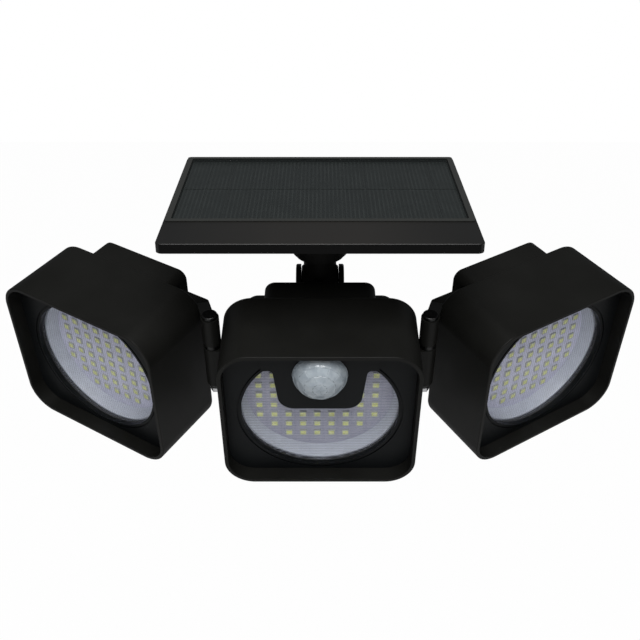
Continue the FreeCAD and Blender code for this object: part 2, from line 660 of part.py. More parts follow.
def make_power_parts():
    """Two cells in their holder, and the control board with its switch in front of them."""
    placement = head_placement()
    cells = []
    for x in (-CELL_SPACING / 2, CELL_SPACING / 2):
        top = CELL_Z + CELL_LENGTH / 2
        can = rod_z(CELL_R, CELL_Z - CELL_LENGTH / 2, top - CELL_CAP_T, x, CELL_Y)
        cap = rod_z(CELL_CAP_R, top - CELL_CAP_T, top, x, CELL_Y)
        cells.append(can.fuse(cap))
    keep("battery_cells", Part.makeCompound(cells), placement)

    holder_w = CELL_SPACING + 2 * CELL_R + 2 * HOLDER_SIDE
    back = BLOCK_BACK - WALL
    floor = back - HOLDER_T
    low = CELL_Z - CELL_LENGTH / 2 - FIT
    high = CELL_Z + CELL_LENGTH / 2 + FIT
    holder = Part.makeBox(holder_w, HOLDER_T, high - low, V(-holder_w / 2, floor, low))
    for base in (low - HOLDER_END, high):
        end = Part.makeBox(holder_w, back - CONTROL_Y, HOLDER_END, V(-holder_w / 2, CONTROL_Y, base))
        holder = holder.fuse(end)
    keep("battery_holder", whole(holder), placement)

    front = CONTROL_Y - CONTROL_T
    board = slab(CONTROL_W, 2 * CONTROL_HALF, 0, front, CONTROL_Y)
    keep("control_board", board, placement)
    switch_low = BUTTON_FLANGE_TOP + BUTTON_TRAVEL + SWITCH_GAP
    switch = Part.makeBox(SWITCH_SIZE, front - BUTTON_Y + SWITCH_SIZE / 2, SWITCH_T,
                          V(-SWITCH_SIZE / 2, BUTTON_Y - SWITCH_SIZE / 2, switch_low))
    keep("mode_switch", switch, placement)
    button = rod_z(BUTTON_R, -HALF_H - BUTTON_PROUD, BUTTON_FLANGE_TOP, y=BUTTON_Y)
    button = soften(button, BUTTON_EDGE, lambda edge: abs(edge.BoundBox.ZMax + HALF_H + BUTTON_PROUD) < 0.01)
    button = button.fuse(rod_z(BUTTON_R + BUTTON_FLANGE, INNER_FLOOR, BUTTON_FLANGE_TOP, y=BUTTON_Y))
    keep("mode_button", button, placement)


# ---- solar panel and neck -------------------------------------------------------------------
SLEEVE_TOP = HUB_LOW + SLEEVE
STUB_TOP = SLEEVE_TOP + STUB_PROUD
TRAY_LOW = PANEL_UP - PANEL_T
POCKET_W = PANEL_W - 2 * PANEL_LIP
POCKET_D = PANEL_D - PANEL_BAND - PANEL_LIP
POCKET_Y = (PANEL_BAND - PANEL_LIP) / 2
GLASS_LOW = PANEL_UP - GLASS_T


def make_neck():
    """Knuckle that tilts in the clevis, with the stub that the hub turns on."""
    placement = neck_placement()
    width = NECK_W - 2 * NECK_EAR - 2 * NECK_GAP
    ball = rod_x(KNUCKLE_BALL_R, -width / 2, width / 2, 0, 0)
    ball = soften(ball, KNUCKLE_BALL_EDGE, lambda edge: edge.BoundBox.XLength < 0.01)
    throat = rod_z(THROAT_R, 0, HUB_LOW - STUB_RING_T)
    ring = rod_z(STUB_RING_R, HUB_LOW - STUB_RING_T, HUB_LOW)
    spindle = rod_z(STUB_R, 0, STUB_TOP)
    neck = ball.fuse(throat).fuse(ring).fuse(spindle)
    neck = neck.cut(rod_x(NECK_PIN_R + RUN_FIT, -NECK_W, NECK_W, 0, 0))
    neck = neck.cut(rod_z(HUB_SCREW_R + THREAD_FIT, STUB_TOP - HUB_SCREW_BITE - SCREW_END,
                          STUB_TOP + PAST))
    keep("neck_knuckle", whole(neck), placement)

    pin_half = NECK_W / 2 - NECK_PIN_SHORT
    keep("neck_pin", rod_x(NECK_PIN_R, -pin_half, pin_half, NECK_Y, NECK_Z), head_placement())
    seat = STUB_TOP + HUB_WASHER_T
    washer = rod_z(HUB_WASHER_R, STUB_TOP, seat)
    washer = washer.cut(rod_z(HUB_SCREW_R + THREAD_FIT, STUB_TOP - PAST, seat + PAST))
    keep("hub_washer", washer, placement)
    screw = rod_z(HUB_SCREW_R, STUB_TOP - HUB_SCREW_BITE, seat)
    top = seat + HUB_SCREW_HEAD_T
    screw = screw.fuse(rod_z(HUB_SCREW_HEAD_R, seat, top))
    slot = plate(HUB_SLOT_L, HUB_SLOT_W, 0, top - HUB_SLOT_T, top + PAST)
    keep("hub_screw", screw.cut(slot), placement)


def flange_places():
    return [(x, y) for x in (-FLANGE_SCREW_X, FLANGE_SCREW_X) for y in (-FLANGE_SCREW_Y, FLANGE_SCREW_Y)]


def make_hub():
    """Collar that turns on the stub, with side and back ribs up to its flange."""
    placement = neck_placement()
    collar = rod_z(HUB_R, HUB_LOW, TRAY_LOW)
    flange_low = TRAY_LOW - HUB_FLANGE_T
    flange = plate(HUB_FLANGE_W, HUB_FLANGE_D, HUB_FLANGE_R, flange_low, TRAY_LOW)
    rib_low = HUB_LOW + HUB_RIB_UP
    rib_high = flange_low + HUB_RIB_IN
    slope = [(-HUB_R, rib_low), (HUB_R, rib_low), (HUB_RIB_R, rib_high), (-HUB_RIB_R, rib_high)]
    ribs = prism_y(slope, -HUB_RIB_T / 2, HUB_RIB_T / 2)
    back_low = HUB_LOW + HUB_RIB_BACK
    back_end = HUB_FLANGE_D / 2 - HUB_RIB_SHORT
    back_rib = prism_x([(0, back_low), (HUB_R, back_low), (back_end, rib_high), (0, rib_high)],
                       -HUB_RIB_T / 2, HUB_RIB_T / 2)
    hub = collar.fuse(flange).fuse(ribs).fuse(back_rib)
    hub = hub.cut(rod_z(STUB_R + RUN_FIT, HUB_LOW - PAST, SLEEVE_TOP + PAST))
    hub = hub.cut(rod_z(HUB_ROOM_R, SLEEVE_TOP, TRAY_LOW + PAST))
    for x, y in flange_places():
        hub = hub.cut(rod_z(SCREW_R + FIT, flange_low - PAST, TRAY_LOW + PAST, x, y))
    keep("panel_hub", whole(hub), placement)

    screws = []
    for x, y in flange_places():
        shank = rod_z(SCREW_R - THREAD_FIT, flange_low, TRAY_LOW + TRAY_FLOOR - FLANGE_SCREW_END, x, y)
        head = rod_z(SCREW_HEAD_R, flange_low - FLANGE_SCREW_HEAD_T, flange_low, x, y)
        screws.append(shank.fuse(head))
    keep("hub_flange_screws", Part.makeCompound(screws), placement)


def make_panel():
    """Shallow tray with a plain front band, the cells on its floor and the glass over them."""
    placement = neck_placement()
    tray = plate(PANEL_W, PANEL_D, PANEL_R, TRAY_LOW, PANEL_UP)
    tray = soften(tray, PANEL_EDGE, lambda edge: abs(edge.BoundBox.ZMin - PANEL_UP) < 0.01)
    lip = plate(POCKET_W + 2 * PANEL_LIP - 2 * PANEL_EDGE, POCKET_D + 2 * PANEL_LIP - 2 * PANEL_EDGE,
                LIP_R, PANEL_UP - JOIN, PANEL_UP + LIP_PROUD, y=POCKET_Y)
    tray = tray.fuse(lip)
    tray = tray.cut(plate(POCKET_W, POCKET_D, POCKET_R, TRAY_LOW + TRAY_FLOOR, PANEL_UP + PAST, y=POCKET_Y))
    for x, y in flange_places():
        tray = tray.cut(rod_z(SCREW_R - THREAD_FIT, TRAY_LOW - PAST,
                              TRAY_LOW + TRAY_FLOOR - FLANGE_SCREW_END, x, y))
    keep("panel_tray", whole(tray), placement)

    backing = plate(POCKET_W - 2 * FIT, POCKET_D - 2 * FIT, SHEET_R,
                    TRAY_LOW + TRAY_FLOOR, GLASS_LOW - CELL_SHEET_T, y=POCKET_Y)
    keep("panel_backing_board", backing, placement)
    glass = plate(POCKET_W - 2 * FIT, POCKET_D - 2 * FIT, SHEET_R, GLASS_LOW, PANEL_UP, y=POCKET_Y)
    keep("panel_glass", glass, placement)

    strips = []
    pitch_x = (POCKET_W - 4 * FIT) / CELL_COLUMNS
    pitch_y = (POCKET_D - 4 * FIT) / CELL_ROWS
    for row in range(CELL_ROWS):
        for column in range(CELL_COLUMNS):
            x = (column - (CELL_COLUMNS - 1) / 2) * pitch_x
            y = POCKET_Y + (row - (CELL_ROWS - 1) / 2) * pitch_y
            strips.append(plate(pitch_x - CELL_GAP, pitch_y - CELL_ROW_GAP, 0,
                                GLASS_LOW - CELL_SHEET_T, GLASS_LOW, x, y))
    keep("solar_cells", Part.makeCompound(strips), placement)


# ---- wall bracket ----------------------------------------------------------------------------
def make_wall_bracket():
    """Wall plate with four screw holes and two ears round the centre head's lug."""
    base = slab(PLATE_W, PLATE_H, PLATE_CORNER, -PLATE_THICK, 0)
    base = soften(base, PLATE_EDGE, lambda edge: abs(edge.BoundBox.YMax + PLATE_THICK) < 0.01)
    for x in (-WALL_HOLE_X / 2, WALL_HOLE_X / 2):
        for z in (-WALL_HOLE_Z / 2, WALL_HOLE_Z / 2):
            base = base.cut(rod_y(WALL_HOLE_R, -PLATE_THICK - PAST, PAST, x, z))
    inner = LUG_W / 2 + BRACKET_GAP
    web_low = PIVOT_UP - WEB_DOWN
    for low in (-inner - BRACKET_EAR, inner):
        profile = [(-JOIN, web_low), (-PIVOT_OUT, PIVOT_UP - EAR_R),
                   (-PIVOT_OUT, PIVOT_UP + EAR_R), (-JOIN, PIVOT_UP + EAR_R)]
        web = prism_x(profile, low, low + BRACKET_EAR)
        ear = rod_x(EAR_R, low, low + BRACKET_EAR, -PIVOT_OUT, PIVOT_UP)
        base = base.fuse(ear).fuse(web)
    base = base.cut(rod_x(BOLT_R + FIT, -PLATE_W, PLATE_W, -PIVOT_OUT, PIVOT_UP))
    keep("wall_bracket", whole(base))

    outside = inner + BRACKET_EAR
    bolt = rod_x(BOLT_R, -outside, outside + KNOB_BITE, -PIVOT_OUT, PIVOT_UP)
    head = hexagon(BOLT_HEAD_R, 0, BOLT_HEAD_T, 0, 0)
    head.Placement = FreeCAD.Placement(V(-outside - BOLT_HEAD_T, -PIVOT_OUT, PIVOT_UP),
                                       FreeCAD.Rotation(Y_AXIS, 90))
    keep("pivot_bolt", bolt.fuse(head))
    knob = rod_x(KNOB_R, outside, outside + KNOB_T, -PIVOT_OUT, PIVOT_UP)
    for lobe in range(KNOB_LOBES):
        angle = 2 * math.pi * lobe / KNOB_LOBES
        dent_y = -PIVOT_OUT + (KNOB_R + KNOB_DENT_OUT) * math.cos(angle)
        dent_z = PIVOT_UP + (KNOB_R + KNOB_DENT_OUT) * math.sin(angle)
        knob = knob.cut(rod_x(KNOB_DENT_R, outside - PAST, outside + KNOB_T + PAST, dent_y, dent_z))
    knob = knob.cut(rod_x(BOLT_R, outside - PAST, outside + KNOB_BITE, -PIVOT_OUT, PIVOT_UP))
    keep("pivot_knob", knob)


def main():
    os.makedirs("parts", exist_ok=True)
    make_centre_head()
    make_motion_sensor()
    make_power_parts()
    for side, prefix in ((-1, "left"), (1, "right")):
        make_side_head(side, prefix)
        make_swivel_parts(side, prefix)
    make_neck()
    make_hub()
    make_panel()
    make_wall_bracket()
    for name, shape in nodes.items():
        shape.exportStep("parts/" + name + ".step")
        solids = len(shape.Solids)
        print(f"{name:26s} solids {solids:3d}  volume {shape.Volume:10.1f}  valid {shape.isValid()}")


main()
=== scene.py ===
"""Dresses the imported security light: materials, lenses, emitters, dome, glass, camera and soft light."""
import bmesh
import bpy
import json
import math
from mathutils import Matrix, Vector


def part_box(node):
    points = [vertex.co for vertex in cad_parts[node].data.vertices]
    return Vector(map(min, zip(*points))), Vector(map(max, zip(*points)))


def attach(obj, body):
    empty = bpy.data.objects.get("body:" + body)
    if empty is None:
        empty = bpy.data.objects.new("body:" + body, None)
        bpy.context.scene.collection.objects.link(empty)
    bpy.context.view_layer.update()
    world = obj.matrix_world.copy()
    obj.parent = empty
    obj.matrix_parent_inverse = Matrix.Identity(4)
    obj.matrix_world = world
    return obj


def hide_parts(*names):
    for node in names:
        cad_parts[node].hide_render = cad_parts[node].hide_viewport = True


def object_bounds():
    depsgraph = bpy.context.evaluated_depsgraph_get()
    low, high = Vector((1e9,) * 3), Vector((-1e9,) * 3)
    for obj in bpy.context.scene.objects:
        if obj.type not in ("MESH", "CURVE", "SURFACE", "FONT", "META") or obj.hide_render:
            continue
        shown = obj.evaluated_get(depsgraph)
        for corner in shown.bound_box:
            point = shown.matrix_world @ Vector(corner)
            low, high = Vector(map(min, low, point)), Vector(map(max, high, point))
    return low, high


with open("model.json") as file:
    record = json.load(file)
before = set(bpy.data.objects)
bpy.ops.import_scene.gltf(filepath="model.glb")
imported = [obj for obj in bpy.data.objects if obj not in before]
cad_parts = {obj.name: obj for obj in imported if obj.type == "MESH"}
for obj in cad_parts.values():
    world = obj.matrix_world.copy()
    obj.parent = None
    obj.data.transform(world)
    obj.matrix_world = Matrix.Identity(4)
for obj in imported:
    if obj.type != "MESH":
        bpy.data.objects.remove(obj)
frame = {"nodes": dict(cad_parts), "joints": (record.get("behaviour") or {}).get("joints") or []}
cad_low, cad_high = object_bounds()

# ---- shape: metres and degrees -------------------------------------------------------------------
MM = 0.001
HEAD_TILT = 20.0
SWIVEL_REST = 31.2
PANEL_TILT = 8.5
MERGE = 2e-6                   # points of a new piece that are closer than this are one
MERGE_CAD = 1e-6               # the same for the points of a CAD mesh

# Depths in a head count from the bezel face towards the back.
BOARD_FRONT = 11.5 * MM
BOARD_MID = 12.3 * MM          # middle of the emitter board
LENS_FRONT = 3.2 * MM
LENS_BACK = 5.0 * MM
LENS_DISC_R = 37.6 * MM        # lens with the rim that the bezel hides
LENS_CUT = 0.05 * MM           # cut straight off the disc beyond the first and the last rib
LENS_LEAST = 0.01 * MM         # least width that the notch leaves
NOTCH_R = 13.14 * MM           # room that the centre lens leaves for the sensor tunnel
RIB_DEPTH = 0.18 * MM
RIB_SAMPLES = 6                # lines of points across one rib
RIBS = {                       # turn of the ribs, and their pitch
    "centre": (0.0, 1.8 * MM),
    "left": (68.0, 1.2 * MM),
    "right": (112.0, 1.2 * MM),
}

LED_SIZE = 3.5 * MM
LED_T = 0.8 * MM
LED_CORNER_STEPS = 3
LED_RINGS = (                  # inset from the sides, corner radius, depth under the top
    (0.0, 0.25 * MM, LED_T),                    # foot on the board
    (0.0, 0.25 * MM, 0.12 * MM),                # top of the straight side
    (0.12 * MM, 0.25 * MM, 0.0),                # rim, after the bevel
    (0.36 * MM, 0.45 * MM, 0.0),                # lip round the window
    (0.44 * MM, 0.42 * MM, 0.10 * MM),          # edge of the sunken window
    (1.05 * MM, 0.30 * MM, 0.05 * MM),          # crown of the window
)

DOME_R = 12.7 * MM
DOME_BACK = 1.0 * MM           # middle of the dome's sphere
PIR_Z = 25.4 * MM              # its height over the lens centre
PLATE_T = 2.0 * MM             # the dome stands on the sensor plate, in front of the bezel face
DOME_EDGES = (0.0, 15.0, 33.0, 51.0, 67.0)      # angles of the rings; the last one ends at the foot
DOME_FACETS = (5, 8, 11, 14, 16)
DOME_GROOVE = 0.16 * MM

GLASS_LIFT = 0.02 * MM
LIP_LOW = 45.0 * MM            # foot of the lip that stands proud round the panel glass
LIP_RAMP = 0.3 * MM

# ---- camera and light: metres, degrees and watts ---------------------------------------------------
CAMERA_LENS = 50.6
SENSOR_WIDTH = 36.0
CAMERA_PITCH = 20.62
CAMERA_AHEAD = 412.95 * MM     # lens centre of the middle head, along the view
CAMERA_ABOVE = 42.34 * MM      # and below the middle of the picture
CLIP_START = 10.0 * MM

LAMP_AIM = Vector((0, -0.05, 0.03))
LAMPS = {                      # place, width and height, power
    "front": ((0.0, -1.3, -0.05), (1.2, 0.7), 1.0),
    "above_front": ((0.0, -0.85, 1.0), (0.9, 0.9), 19.0),
    "left": ((-1.0, -0.8, 0.25), (0.5, 0.9), 0.3),
    "right": ((1.0, -0.8, 0.25), (0.5, 0.9), 0.3),
    "top": ((0.0, -0.2, 1.2), (0.8, 0.6), 1.5),
}
WHITE = (1.0, 1.0, 1.0)
SKY_TINT = (0.80, 0.83, 0.87)
SKY_STRENGTH = 0.14
FLOOR_DROP = 0.35              # under the lamp
FLOOR_HALF = 3.0
FLOOR_TINT = (0.82, 0.82, 0.82)
FLOOR_GLOW = 0.985             # share of plain white in what the camera sees of the floor

# ---- looks -----------------------------------------------------------------------------------------
BUMP_FINE = 0.05 * MM
BUMP_GRAIN = 0.08 * MM
BUMP_SOFT = 0.1 * MM
CLOUD_LOW, CLOUD_HIGH = 0.35, 0.65              # where noise starts and stops being spread out
NOISE_LOW, NOISE_HIGH = 0.3, 0.7                # the same for gentler variation
MOULDED_ROUGH = 0.44

MOULDINGS = (                  # material, dark tint, light tint, nodes
    ("moulded_black", (0.0062, 0.0062, 0.0055), (0.0082, 0.0082, 0.0074),
     ("_hood", "rear_housing", "wall_bracket", "pivot_knob", "panel_hub", "neck_knuckle")),
    ("bezel_black", (0.0040, 0.0046, 0.0050), (0.0052, 0.0060, 0.0065), ("sensor_plate", "_bezel")),
)
METALS = (                     # material, tint, roughness, nodes
    ("zinc_steel", (0.55, 0.55, 0.56), 0.30,
     ("case_screws", "swivel_nut", "neck_pin", "hub_screw", "hub_washer", "hub_flange_screws", "pivot_bolt")),
    ("blackened_steel", (0.04, 0.04, 0.04), 0.35, ("swivel_screw", "swivel_washer")),
    ("nickel_can", (0.66, 0.64, 0.58), 0.22, ("motion_sensor",)),
)
PLAINS = (                     # material, tint, roughness, nodes
    ("reflector_grey", (0.50, 0.53, 0.60), 0.35, ("reflector",)),
    ("gasket_black", (0.02, 0.02, 0.02), 0.7, ("lens_gasket",)),
    ("cell_wrap_blue", (0.04, 0.14, 0.35), 0.3, ("battery_cells",)),
    ("holder_black", (0.03, 0.03, 0.03), 0.5, ("battery_holder", "mode_switch")),
    ("board_green", (0.02, 0.13, 0.06), 0.4, ("control_board",)),
    ("button_silicone", (0.03, 0.03, 0.03), 0.6, ("mode_button",)),
    ("backing_dark", (0.0062, 0.0078, 0.0072), 0.6, ("panel_backing_board",)),
)
# painted light and shade: one board colour, darker in the centre head and lighter in the side heads
BOARD_LIGHT_SHARE = {"centre": 0.62, "left": 1.1, "right": 1.1}
MASK_DARK, MASK_LIGHT, COPPER = (0.52, 0.52, 0.66), (0.60, 0.60, 0.74), (0.40, 0.40, 0.54)
COPPER_SHARE = 0.35
TRACE_PITCH = 6.82 * MM

TRAY_DARK, TRAY_LIGHT = (0.0062, 0.0060, 0.0056), (0.0090, 0.0088, 0.0083)
TRAY_PAINTED_SHEEN = (0.0175, 0.0160, 0.0142)           # painted sheen in the middle of the tray's width
TRAY_SHEEN_SHARE = 0.7
TRAY_SHEEN_IN, TRAY_SHEEN_OUT = 20.0 * MM, 62.0 * MM
TRAY_FRONT_SHADE = (0.0018, 0.0018, 0.0018)           # painted shade on the band that faces the viewer
TRAY_LIP = (0.025, 0.026, 0.024)

SILICON_DARK, SILICON_LIGHT = (0.0042, 0.0050, 0.0047), (0.0052, 0.0062, 0.0058)
FINGER_TINT = (0.026, 0.030, 0.028)
FINGER_SHARE = 0.6
FINGER_PITCH = 1.9 * MM

PACKAGE_WHITE = (0.46, 0.47, 0.42)
PHOSPHOR_DARK, PHOSPHOR_LIGHT = (0.66, 0.70, 0.14), (0.82, 0.84, 0.34)
DOME_DARK, DOME_LIGHT = (0.34, 0.39, 0.43), (0.44, 0.49, 0.53)
LENS_TINT = (0.76, 0.80, 0.92)
PANE_TINT = (0.12, 0.14, 0.14)


# ---- places ----------------------------------------------------------------------------------------
def nodes_named(*endings):
    return [o for name, o in frame["nodes"].items() if name.endswith(endings)]


def head_rotation(side):
    tilt = Matrix.Rotation(math.radians(HEAD_TILT), 4, "X")
    return tilt @ Matrix.Rotation(math.radians(side * SWIVEL_REST), 4, "Z")


def head_matrix(prefix, side):
    """Frame of one head: lens centre on the bezel face, -Y out of the lens, +Z up along it."""
    low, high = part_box(prefix + "_led_board")
    rotation = head_rotation(side)
    centre = (low + high) / 2 - rotation.to_3x3() @ Vector((0, BOARD_MID, 0))
    return Matrix.Translation(centre) @ rotation


def neck_matrix():
    """Frame of the panel: a point on the axis of its swivel, with +Z square to the glass."""
    pin = Vector(next(j for j in frame["joints"] if j["name"] == "panel_swivel")["pos_m"])
    return Matrix.Translation(pin) @ Matrix.Rotation(math.radians(PANEL_TILT), 4, "X")


HEADS = {
    "centre": head_matrix("centre", 0),
    "left": head_matrix("left", -1),
    "right": head_matrix("right", 1),
}
BODY_OF = {"centre": "centre_head", "left": "left_head", "right": "right_head"}
NECK = neck_matrix()


# ---- camera and light ------------------------------------------------------------------------------
def colour(values):
    return (*values, 1.0)


def make_camera():
    pitch = math.radians(CAMERA_PITCH)
    ahead = Vector((0, math.cos(pitch), -math.sin(pitch)))
    up = Vector((0, math.sin(pitch), math.cos(pitch)))
    data = bpy.data.cameras.new("camera")
    data.lens = CAMERA_LENS
    data.sensor_width = SENSOR_WIDTH
    data.clip_start = CLIP_START
    camera = bpy.data.objects.new("camera", data)
    bpy.context.scene.collection.objects.link(camera)
    target = HEADS["centre"].translation
    camera.location = target - ahead * CAMERA_AHEAD + up * CAMERA_ABOVE
    camera.rotation_mode = "QUATERNION"
    camera.rotation_quaternion = ahead.to_track_quat("-Z", "Y")
    bpy.context.scene.camera = camera


def make_area(name, location, size, energy):
    data = bpy.data.lights.new(name, "AREA")
    data.shape = "RECTANGLE"
    data.size, data.size_y = size
    data.energy = energy
    lamp = bpy.data.objects.new(name, data)
    bpy.context.scene.collection.objects.link(lamp)
    lamp.location = location
    aim = LAMP_AIM - Vector(location)
    lamp.rotation_mode = "QUATERNION"
    lamp.rotation_quaternion = aim.to_track_quat("-Z", "Y")


def white_seen(tree):
    """1 for the rays that see the white backdrop: the camera's own and those through clear plastic."""
    path = tree.nodes.new("ShaderNodeLightPath")
    seen = tree.nodes.new("ShaderNodeMath")
    seen.operation = "MAXIMUM"
    tree.links.new(path.outputs["Is Camera Ray"], seen.inputs[0])
    tree.links.new(path.outputs["Is Transmission Ray"], seen.inputs[1])
    return seen.outputs[0]


def make_world():
    """Faint sky for the lamp itself; the camera sees plain white instead."""
    world = bpy.data.worlds.new("studio")
    world.use_nodes = True
    tree = world.node_tree
    tree.nodes.clear()
    light = tree.nodes.new("ShaderNodeBackground")
    light.inputs["Color"].default_value = colour(SKY_TINT)
    light.inputs["Strength"].default_value = SKY_STRENGTH
    white = tree.nodes.new("ShaderNodeBackground")
    white.inputs["Color"].default_value = colour(WHITE)
    white.inputs["Strength"].default_value = 1.0
    mix = tree.nodes.new("ShaderNodeMixShader")
    out = tree.nodes.new("ShaderNodeOutputWorld")
    tree.links.new(white_seen(tree), mix.inputs[0])
    tree.links.new(light.outputs[0], mix.inputs[1])
    tree.links.new(white.outputs[0], mix.inputs[2])
    tree.links.new(mix.outputs[0], out.inputs["Surface"])
    bpy.context.scene.world = world


def make_floor():
    """Pale floor well below the lamp; it is nearly white to the camera and keeps the soft shadow."""
    z = cad_low.z - FLOOR_DROP
    corners = [(x * FLOOR_HALF, y * FLOOR_HALF, z) for x, y in ((-1, -1), (1, -1), (1, 1), (-1, 1))]
    mesh = bpy.data.meshes.new("floor")
    mesh.from_pydata(corners, [], [(0, 1, 2, 3)])
    floor = bpy.data.objects.new("floor", mesh)
    bpy.context.scene.collection.objects.link(floor)
    material = bpy.data.materials.new("floor_white")
    material.use_nodes = True
    tree = material.node_tree
    tree.nodes.clear()
    paint = tree.nodes.new("ShaderNodeBsdfDiffuse")
    paint.inputs["Color"].default_value = colour(FLOOR_TINT)
    glow = tree.nodes.new("ShaderNodeEmission")
    glow.inputs["Color"].default_value = colour(WHITE)
    glow.inputs["Strength"].default_value = 1.0
    share = tree.nodes.new("ShaderNodeMath")
    share.operation = "MULTIPLY"
    share.inputs[1].default_value = FLOOR_GLOW
    mix = tree.nodes.new("ShaderNodeMixShader")
    out = tree.nodes.new("ShaderNodeOutputMaterial")
    tree.links.new(white_seen(tree), share.inputs[0])
    tree.links.new(share.outputs[0], mix.inputs[0])
    tree.links.new(paint.outputs[0], mix.inputs[1])
    tree.links.new(glow.outputs[0], mix.inputs[2])
    tree.links.new(mix.outputs[0], out.inputs["Surface"])
    mesh.materials.append(material)


# ---- material helpers ------------------------------------------------------------------------------
class Shader:
    """Small helper that builds one node material round a Principled shader."""

    def __init__(self, name):
        self.material = bpy.data.materials.new(name)
        self.material.use_nodes = True
        self.tree = self.material.node_tree
        self.surface = self.tree.nodes["Principled BSDF"]
        self.coordinates = self.tree.nodes.new("ShaderNodeTexCoord").outputs["Object"]

    def node(self, kind, **inputs):
        made = self.tree.nodes.new("ShaderNode" + kind)
        for key, value in inputs.items():
            self.put(made.inputs[key.replace("_", " ")], value)
        return made

    def put(self, socket, value):
        if isinstance(value, bpy.types.NodeSocket):
            self.tree.links.new(value, socket)
        else:
            socket.default_value = value

    def set(self, **inputs):
        for key, value in inputs.items():
            self.put(self.surface.inputs[key.replace("_", " ")], value)

    def noise(self, scale, detail=2.0):
        made = self.node("TexNoise", Scale=scale, Detail=detail)
        self.put(made.inputs["Vector"], self.coordinates)
        return made.outputs["Fac"]

    def remap(self, value, low, high, to_low=0.0, to_high=1.0):
        made = self.node("MapRange", From_Min=low, From_Max=high, To_Min=to_low, To_Max=to_high)
        self.put(made.inputs["Value"], value)
        return made.outputs["Result"]

    def cloud(self, scale, detail=3.0, to_low=0.0, to_high=1.0):
        """Soft patches, spread over the whole of a range."""
        return self.remap(self.noise(scale, detail), CLOUD_LOW, CLOUD_HIGH, to_low, to_high)

    def blend(self, factor, first, second):
        made = self.tree.nodes.new("ShaderNodeMix")
        made.data_type = "RGBA"
        self.put(made.inputs["Factor"], factor)
        self.put(made.inputs["A"], colour(first) if isinstance(first, tuple) else first)
        self.put(made.inputs["B"], colour(second) if isinstance(second, tuple) else second)
        return made.outputs["Result"]

    def math(self, operation, first, second=0.0):
        made = self.tree.nodes.new("ShaderNodeMath")
        made.operation = operation
        self.put(made.inputs[0], first)
        self.put(made.inputs[1], second)
        return made.outputs[0]

    def wave(self, operation, along, pitch):
        """SINE or COSINE that repeats at each pitch."""
        return self.math(operation, self.math("MULTIPLY", along, 2 * math.pi / pitch))

    def axes(self, matrix):
        """X, Y and Z in the frame of a head or the panel, whatever its tilt."""
        inverse = matrix.inverted()
        made = self.tree.nodes.new("ShaderNodeMapping")
        made.vector_type = "POINT"
        made.inputs["Location"].default_value = inverse.translation
        made.inputs["Rotation"].default_value = inverse.to_euler("XYZ")
        self.put(made.inputs["Vector"], self.coordinates)
        return self.split(made.outputs["Vector"])

    def split(self, vector):
        made = self.tree.nodes.new("ShaderNodeSeparateXYZ")
        self.put(made.inputs[0], vector)
        return made.outputs

    def bump(self, height, strength, distance):
        made = self.node("Bump", Strength=strength, Distance=distance)
        self.put(made.inputs["Height"], height)
        self.put(self.surface.inputs["Normal"], made.outputs["Normal"])

    def grain(self, scale, strength, depth):
        """Fine bumps all over."""
        self.bump(self.noise(scale), strength, depth)


def shade(tint, share):
    return tuple(share * c for c in tint)


def moulded(name, dark, light):
    """Spark-eroded black moulding: fine grain, faint cloudy variation in colour and gloss."""
    shader = Shader(name)
    cloud = shader.noise(scale=38.0, detail=4.0)
    gloss = shader.remap(cloud, NOISE_LOW, NOISE_HIGH, MOULDED_ROUGH - 0.05, MOULDED_ROUGH + 0.05)
    shader.set(Base_Color=shader.blend(shader.remap(cloud, NOISE_LOW, NOISE_HIGH), dark, light))
    shader.set(Roughness=gloss, Specular_IOR_Level=0.1)
    shader.grain(scale=2600.0, strength=0.12, depth=BUMP_GRAIN)
    return shader.material


def metal(name, tint, rough):
    """Metal with a slightly uneven tint and gloss."""
    shader = Shader(name)
    gloss = shader.remap(shader.noise(scale=900.0), NOISE_LOW, NOISE_HIGH, rough - 0.06, rough + 0.08)
    shader.set(Base_Color=shader.blend(shader.cloud(scale=420.0), tint, shade(tint, 0.8)))
    shader.set(Metallic=1.0, Roughness=gloss)
    shader.grain(scale=1500.0, strength=0.08, depth=BUMP_FINE)
    return shader.material


def make_plain(name, tint, rough):
    """Plain plastic, paint or rubber with a faint cloud in its tint."""
    shader = Shader(name)
    shader.set(Base_Color=shader.blend(shader.cloud(scale=220.0), tint, shade(tint, 0.9)))
    shader.set(Roughness=rough)
    shader.grain(scale=1800.0, strength=0.06, depth=BUMP_FINE)
    return shader.material


def make_lens_material(name, matrix, turn, pitch):
    """Clear lens plastic with pale bands painted on the flanks of its ribs, standing in for the light the
    ribs bend.
    """
    shader = Shader(name)
    axes = shader.axes(matrix)
    angle = math.radians(turn)
    across = shader.math("SUBTRACT", shader.math("MULTIPLY", axes["Z"], math.cos(angle)),
                         shader.math("MULTIPLY", axes["X"], math.sin(angle)))
    # painted light: the lens is more opaque and paler on the rib flanks
    rib_light_bands = shader.remap(shader.wave("COSINE", across, pitch), -1.0, 1.0, to_low=0.04, to_high=0.14)
    patchy = shader.remap(shader.noise(scale=55.0, detail=3.0), NOISE_LOW, NOISE_HIGH,
                          to_low=0.8, to_high=1.2)
    shader.set(Base_Color=colour(LENS_TINT), Roughness=0.28, IOR=1.45, Specular_IOR_Level=0.35)
    shader.set(Alpha=shader.math("MULTIPLY", rib_light_bands, patchy))
    shader.grain(scale=1400.0, strength=0.05, depth=BUMP_FINE)
    return shader.material


def make_board_material(name, matrix, light_share):
    """Pale solder mask with faint copper lines under it, scaled by each head's share of painted light and
    shade.
    """
    shader = Shader(name)
    traces = shader.remap(shader.wave("SINE", shader.axes(matrix)["X"], TRACE_PITCH), 0.86, 0.98)
    mask = shader.blend(shader.cloud(scale=160.0), shade(MASK_DARK, light_share), shade(MASK_LIGHT, light_share))
    traces = shader.math("MULTIPLY", traces, COPPER_SHARE)
    shader.set(Base_Color=shader.blend(traces, mask, shade(COPPER, light_share)))
    shader.set(Roughness=0.42)
    return shader.material


